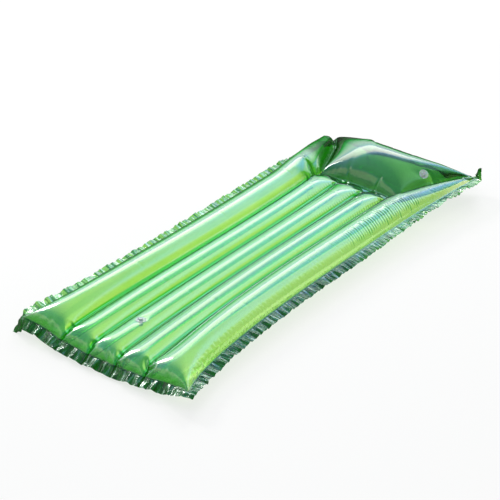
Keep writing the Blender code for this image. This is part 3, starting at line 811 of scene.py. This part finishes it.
def film_material(name, tints, dye, body_share, gloss, pillow_shade, lower):
    """Clear dyed film: transparent with the dye's colour plus painted light and shade, part
    mirror, part scattering.
    """
    t = Tree(bpy.data.materials.new(name))
    place = t.attr("pat", "Vector")
    rim, web_gap, seam, pillow, shade = (
        t.attr(key) for key in ("rim", "dw", "seam", "pillow", "shade"))
    across, along, _ = t.split(place)
    web_near = t.math("ABSOLUTE", web_gap)
    on_rim = t.span(rim, 0.0, 0.15)

    # relief: faint roll texture everywhere, puckers along seams and webs, crushed flange
    crush = t.noise(place, scale=85, detail=3, roughness=0.6, distortion=0.6)
    pucker = t.noise(place, stretch=(18, 150, 1))
    near_seam = t.times(t.span(seam, 0.045, 0.004), t.span(rim, 0.1, 0.0))
    near_web = t.times(t.span(web_near, 0.028, 0.006), 0.45)
    roll = t.noise(place, detail=1, roughness=0.4, stretch=(60, 9, 1))
    normal = t.bump(roll, distance=0.0002, strength=0.35)
    normal = t.bump(pucker, distance=0.0007, strength=t.math("MAXIMUM", near_seam, near_web),
                    Normal=normal)
    normal = t.bump(crush, distance=0.0022, strength=t.times(on_rim, 0.9), Normal=normal)
    facing = t.facing(normal)
    normal_x, normal_y, _ = t.split(t.node("NewGeometry").outputs["Normal"])

    # painted light: flanks turned to the right take a paler, sunlit tint, and the rightmost strip
    # is painted paler still
    lit_right_flank = t.span(normal_x, 0.45, 0.75)
    colour = t.ramp(t.math("MULTIPLY_ADD", lit_right_flank, t.math("SUBTRACT", 0.30, facing),
                           facing), tints)
    lit_right_strip = t.times(t.span(across, 0.27, 0.34), t.span(rim, 0.0, -0.02))
    colour = t.blend(lit_right_strip, colour, (0.95, 0.99, 0.72))

    if not lower:
        gathers = t.attr("rip")
        layers = [
            # painted shade on slopes turned to the foot
            (t.times(t.span(normal_y, -0.14, -0.46), t.span(rim, 0.1, 0.0), 0.95),
             (0.13, 0.40, 0.34)),
            # painted light in a pale strip left of each web, and painted shade in a darker strip
            # beyond it
            (t.window(web_gap, (-0.044, -0.028), (-0.010, -0.016)), (1.18, 1.10, 1.05)),
            (t.window(web_gap, (-0.070, -0.055), (-0.034, -0.046)), (0.82, 0.92, 0.95)),
            # painted shade in the troughs of the gathers
            (t.span(gathers, 0.0, -0.42), (0.30, 0.64, 0.38)),
            # painted shade on slopes turned to the head, near the pillow
            (t.times(t.span(along, 1.38, 1.42), t.span(normal_y, 0.15, 0.45), 0.95),
             (0.20, 0.62, 0.22)),
            # painted shade, deep green, in the valleys over the webs
            (t.times(t.window(web_gap, (-0.0145, -0.0085), (0.012, 0.006)),
                     t.span(along, 1.50, 1.49)), (0.16, 0.84, 0.12)),
        ]
        for mask, layer_colour in layers:
            colour = t.tint(colour, mask, layer_colour)

    band = t.span(web_near, 0.0046, 0.0034)
    # painted highlight along the edges of the weld bands
    weld_edge_highlight = t.window(web_near, (0.0058, 0.0050), (0.0042, 0.0048))
    # pleats run across the edge, so the noise is turned at the sides
    on_side = t.span(t.math("ABSOLUTE", across), 0.352, 0.358)
    side_pleats = t.noise(place, roughness=0.6, distortion=0.3, stretch=(9, 105, 1))
    end_pleats = t.noise(place, roughness=0.6, distortion=0.3, stretch=(80, 9, 1))
    pleats = t.math("ADD", t.times(side_pleats, on_side), t.dim(end_pleats, on_side))
    # painted shade on the left corner beside the pillow
    corner = t.times(t.span(along, 1.49, 1.56), t.span(across, -0.18, -0.22))
    layers = [
        # uneven dye
        (t.span(t.noise(place, scale=7), 0.35, 0.7, high=0.18), (0.60, 0.93, 0.45)),
        # weld bands, two sheets fused
        (t.times(band, t.span(along, 1.50, 1.49)), (0.55, 0.92, 0.45)),
        # painted shade darkens the pillow
        (t.times(pillow, pillow_shade), (0.22, 0.54, 0.42)),
        # painted shade on the free edge
        (shade, (0.08, 0.34, 0.12)),
        # painted shade in the pleat troughs on the flange
        (t.times(t.span(pleats, 0.50, 0.42), on_rim), (0.36, 0.62, 0.45)),
        (corner, (0.20, 0.58, 0.20)),
    ]
    for mask, layer_colour in layers:
        colour = t.tint(colour, mask, layer_colour)
    clear = t.make("BsdfTransparent", Color=colour)

    # mirror share: dulled on bands; painted shade dulls it on the shaded edge, the corner, the
    # pillow and head-side slopes; painted highlights raise it on pleat crests, weld edges and
    # gather crests
    mirror = t.times(t.ramp(facing, FILM_MIRROR), gloss)
    mirror = t.dim(mirror, t.times(band, 0.8))
    mirror = t.dim(mirror, t.times(shade, 0.6))
    # painted highlight on the pleat crests of the flange
    mirror = t.raise_by(mirror, t.span(pleats, 0.54, 0.62), on_rim, 0.16)
    mirror = t.dim(mirror, t.times(corner, 0.60))
    mirror = t.dim(mirror, t.times(pillow, t.span(normal_y, 0.10, 0.45, low=0.12, high=0.65)))
    mirror = t.dim(mirror, t.times(t.span(along, 1.38, 1.42), t.span(normal_y, 0.20, 0.50), 0.45))
    mirror = t.raise_by(mirror, weld_edge_highlight, 0.12)
    # painted highlight on the gather crests
    if not lower:
        mirror = t.raise_by(mirror, t.span(gathers, 0.15, 0.7), 0.10)
    roughness = t.math("ADD", 0.045, t.times(t.noise(place, scale=40), 0.05))
    glossy = t.make("BsdfGlossy", Color=(0.93, 1.0, 0.95), Roughness=roughness, Normal=normal)

    # light scattered in the sheet
    through = t.make("BsdfTranslucent", Color=dye, Normal=normal)
    back = t.make("BsdfDiffuse", Color=tuple(c * 0.7 for c in dye), Normal=normal)
    body = t.mix(0.3, through, back)
    share = t.math("ADD", body_share, t.times(on_rim, 0.04))
    return t.finish(t.mix(mirror, t.mix(share, clear, body), glossy))


def web_material():
    t = Tree(bpy.data.materials.new("pvc_web"))
    place, leg = t.attr("pat", "Vector"), t.attr("leg")
    normal = t.bump(t.noise(place, stretch=(30, 110, 1)), distance=0.0006, strength=0.6)
    colour = t.ramp(t.facing(normal), [(0.0, (0.78, 0.97, 0.66)), (0.6, (0.62, 0.94, 0.46)),
                                       (1.0, (0.25, 0.80, 0.16))])
    cloud = t.span(t.noise(place, scale=25), 0.35, 0.7, high=0.3)
    colour = t.tint(colour, cloud, (0.7, 0.95, 0.6))
    colour = t.tint(colour, t.times(leg, 0.5), (0.25, 0.8, 0.15))
    clear = t.make("BsdfTransparent", Color=colour)
    through = t.make("BsdfTranslucent", Color=(0.25, 0.95, 0.08))
    glossy = t.make("BsdfGlossy", Color=(0.8, 1.0, 0.8), Roughness=0.12, Normal=normal)
    mirror = t.math("MINIMUM", t.make("Fresnel", IOR=1.45), 0.4)
    return t.finish(t.mix(mirror, t.mix(0.28, clear, through), glossy))


def clear_pvc(name, tint, milk, milk_share, scale=1.0):
    """Clear soft moulding: slightly cloudy, with flow marks."""
    t = Tree(bpy.data.materials.new(name))
    flow = t.noise(t.node("TexCoord").outputs["Object"], scale=420 * scale, detail=3,
                   roughness=0.55, distortion=0.8)
    normal = t.bump(flow, distance=0.0002, strength=0.35)
    colour = t.ramp(t.facing(normal), [(0.0, tint), (0.7, tuple(c * 0.86 for c in tint)),
                                       (1.0, tuple(c * 0.78 for c in tint))])
    clear = t.make("BsdfTransparent", Color=colour)
    darker_milk = tuple(min(1, c * 0.86) for c in milk)
    cloudy = t.make("BsdfPrincipled", Normal=normal,
                    Base_Color=t.blend(t.span(flow, 0.35, 0.7), milk, darker_milk),
                    Roughness=t.span(flow, 0.3, 0.7, low=0.16, high=0.30),
                    Subsurface_Weight=0.2, Subsurface_Scale=0.002)
    glossy = t.make("BsdfGlossy", Roughness=0.07, Normal=normal)
    fresnel = t.make("Fresnel", IOR=1.5, Normal=normal)
    share = t.span(flow, 0.3, 0.7, low=milk_share - 0.05, high=milk_share + 0.05)
    mirror = t.math("MINIMUM", t.times(fresnel, 1.6), 0.7)
    return t.finish(t.mix(mirror, t.mix(share, clear, cloudy), glossy))


film_top.data.materials.append(film_material(
    "pvc_film_upper", UPPER_TINT, dye=(0.40, 0.94, 0.24), body_share=0.055, gloss=1.0,
    pillow_shade=0.42, lower=False))
film_bottom.data.materials.append(film_material(
    "pvc_film_lower", LOWER_TINT, dye=(0.34, 0.90, 0.16), body_share=0.07, gloss=0.45,
    pillow_shade=0.78, lower=True))
web_pvc = web_material()
for web in webs:
    web.data.materials.append(web_pvc)
valve_materials = {
    "valve_clear": clear_pvc("pvc_valve_clear", tint=(0.95, 0.99, 0.98),
                             milk=(0.93, 0.98, 0.98), milk_share=0.40),
    "valve_flap": clear_pvc("pvc_valve_flap", tint=(0.84, 0.94, 0.92),
                            milk=(0.82, 0.92, 0.92), milk_share=0.45, scale=1.5),
}
for ob, slot in valve_objects:
    ob.data.materials.append(valve_materials[slot])

# (object, CAD node, slot)
mat_pieces = [(film_top, "upper_film", "film_upper"), (film_bottom, "lower_film", "film_lower")]
mat_pieces += [(web, "web_%d" % (i + 1), "web") for i, web in enumerate(webs)]
for ob, node, slot in mat_pieces:
    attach(ob, "mat")
    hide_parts(node)


# ------------------------------------------------------------- floor and light
def link_to_scene(name, data):
    ob = bpy.data.objects.new(name, data)
    bpy.context.scene.collection.objects.link(ob)
    return ob


def floor_material():
    """Near white to the camera; mirror rays mostly see green, brighter on the right."""
    t = Tree(bpy.data.materials.new("floor_pale"))
    rays = t.node("LightPath").outputs
    diffuse = t.make("BsdfDiffuse", Color=(0.93, 0.93, 0.93))
    x = t.split(t.node("NewGeometry").outputs["Position"])[0]
    green = t.make("Emission", Color=t.blend(t.span(x, 0.27, 0.42),
                                             (0.04, 0.11, 0.05), (0.62, 0.86, 0.42)))
    white = t.make("Emission", Color=(0.97, 0.97, 0.97))
    seen = t.mix(t.times(rays["Is Camera Ray"], 0.74), diffuse, white)
    return t.finish(t.mix(t.times(rays["Is Glossy Ray"], 0.85), seen, green))


FLOOR_HALF, FLOOR_Z = 30, -0.0006
mesh = bpy.data.meshes.new("floor")
mesh.from_pydata([(x * FLOOR_HALF, y * FLOOR_HALF, FLOOR_Z)
                  for x, y in ((-1, -1), (1, -1), (1, 1), (-1, 1))], [], [(0, 1, 2, 3)])
floor = link_to_scene("floor", mesh)
floor.data.materials.append(floor_material())

# reflected sky by the height of the direction
SKY = [(0.0, (0.01, 0.10, 0.02)), (0.10, (0.03, 0.21, 0.06)), (0.22, (0.17, 0.34, 0.22)),
       (0.36, (0.36, 0.45, 0.42)), (0.47, (0.32, 0.44, 0.48)), (0.56, (0.27, 0.44, 0.82)),
       (0.70, (0.27, 0.43, 0.86)), (0.80, (0.14, 0.25, 0.36)), (1.0, (0.08, 0.17, 0.18))]


def studio_world():
    """White to the camera, soft to diffuse rays, and a painted sky for reflections."""
    t = Tree(bpy.data.worlds.new("studio"))
    rays = t.node("LightPath").outputs
    x, y, z = t.split(t.node("TexCoord").outputs["Generated"])
    # pale band on the left
    band = t.times(t.window(z, (0.485, 0.54), (0.76, 0.69)), t.span(x, -0.06, -0.36))
    sky = t.blend(band, t.ramp(z, SKY), (0.95, 0.98, 0.96))
    # darker to the right and towards the foot
    right = t.span(x, 0.42, 0.66, low=1.0, high=0.08)
    foot = t.span(y, -0.60, 0.0, low=0.35, high=1.0)
    sky = t.tint(sky, 1.0, t.ramp(t.times(right, foot), [(0, 0), (1, 1)]))
    reflected = t.make("Background", Color=sky, Strength=3.0)
    seen = t.make("Background", Color=(1, 1, 1), Strength=1.0)
    soft = t.make("Background", Color=(0.96, 0.99, 1.0), Strength=0.50)
    shader = t.mix(rays["Is Camera Ray"], soft, seen)
    return t.finish(t.mix(rays["Is Glossy Ray"], shader, reflected), "OutputWorld")


bpy.context.scene.world = studio_world()


def area(name, direction, distance, size, power, colour, glossy=True):
    """Square area light aimed at a point just above the floor's centre."""
    light = bpy.data.lights.new(name, "AREA")
    light.energy, light.size, light.color = power, size, colour
    ob = link_to_scene(name, light)
    outward = Vector(direction).normalized()
    ob.location = Vector((0, 0, 0.05)) + outward * distance
    ob.rotation_mode = "QUATERNION"
    ob.rotation_quaternion = (-outward).to_track_quat("-Z", "Y")
    ob.visible_glossy = glossy


area("key", (-0.785, 0.11, 0.61), distance=5.0, size=1.3, power=90, colour=(1.0, 0.99, 0.96))
area("back", (-0.35, 0.80, 0.75), distance=6.0, size=3.0, power=150, colour=(0.98, 1.0, 1.0),
     glossy=False)
area("fill", (0.3, -0.5, 1.0), distance=6.0, size=4.0, power=90, colour=(1.0, 1.0, 1.0),
     glossy=False)

# ---------------------------------------------------------------------- camera
AZIMUTH, ELEVATION, ROLL = (math.radians(angle) for angle in (35.7458, 29.5306, 1.707))
CAMERA_TARGET = (-0.0401, -0.0523, 0.05)
CAMERA_DISTANCE = 6.5007
SENSOR_MM, LENS_MM = 36.0, 134.5968

backward = Vector((math.sin(AZIMUTH) * math.cos(ELEVATION),
                   -math.cos(AZIMUTH) * math.cos(ELEVATION), math.sin(ELEVATION)))
level_right = (-backward).cross(Vector((0, 0, 1))).normalized()
level_up = level_right.cross(-backward)
right = level_right * math.cos(ROLL) + level_up * math.sin(ROLL)
up = level_up * math.cos(ROLL) - level_right * math.sin(ROLL)
camera_data = bpy.data.cameras.new("camera")
camera = link_to_scene("camera", camera_data)
camera_data.sensor_width = SENSOR_MM
camera_data.lens = LENS_MM
camera_data.clip_end = 200
camera.matrix_world = axes_matrix(right, up, backward,
                                  Vector(CAMERA_TARGET) + backward * CAMERA_DISTANCE)
bpy.context.scene.camera = camera
bpy.context.scene.view_settings.view_transform = "Standard"

bpy.context.view_layer.update()
